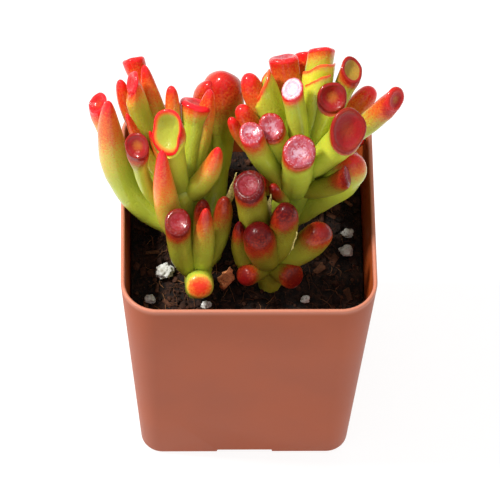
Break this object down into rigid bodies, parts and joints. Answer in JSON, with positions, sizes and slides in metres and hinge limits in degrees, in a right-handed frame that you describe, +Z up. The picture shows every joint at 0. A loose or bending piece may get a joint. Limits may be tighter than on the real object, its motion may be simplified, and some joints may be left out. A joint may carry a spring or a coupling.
{
  "type": "potted trumpet jade",
  "caption": "Small trumpet-leaved succulent with red-tipped leaves, standing in soil in a square tapered terracotta-coloured plastic nursery pot.",
  "frame": {"origin": "centre of the pot's underside", "axes": "+Z straight up out of the pot, +X to the right of the plant's front, -Y towards the viewer in front"},
  "size_m": [0.0696, 0.057, 0.1065],
  "materials": {
    "pot_plastic": "satin terracotta-coloured moulded plastic",
    "potting_soil": "dark crumbly potting mix with bark and coir fibres",
    "leaf_skin": "plump waxy leaf skin, yellow-green with red tips",
    "perlite": "rough off-white perlite grain"
  },
  "bodies": {
    "root": {"pot": "pot_plastic", "soil": "potting_soil", "left_stem": "leaf_skin", "right_stem": "leaf_skin", "front_stem": "leaf_skin", "front_left_stem": "leaf_skin", "back_left_stem": "leaf_skin", "back_right_stem": "leaf_skin", "perlite_1": "perlite", "perlite_2": "perlite", "perlite_3": "perlite", "perlite_4": "perlite", "perlite_5": "perlite", "perlite_6": "perlite", "perlite_7": "perlite", "perlite_8": "perlite", "perlite_9": "perlite"}
  },
  "joints": []
}
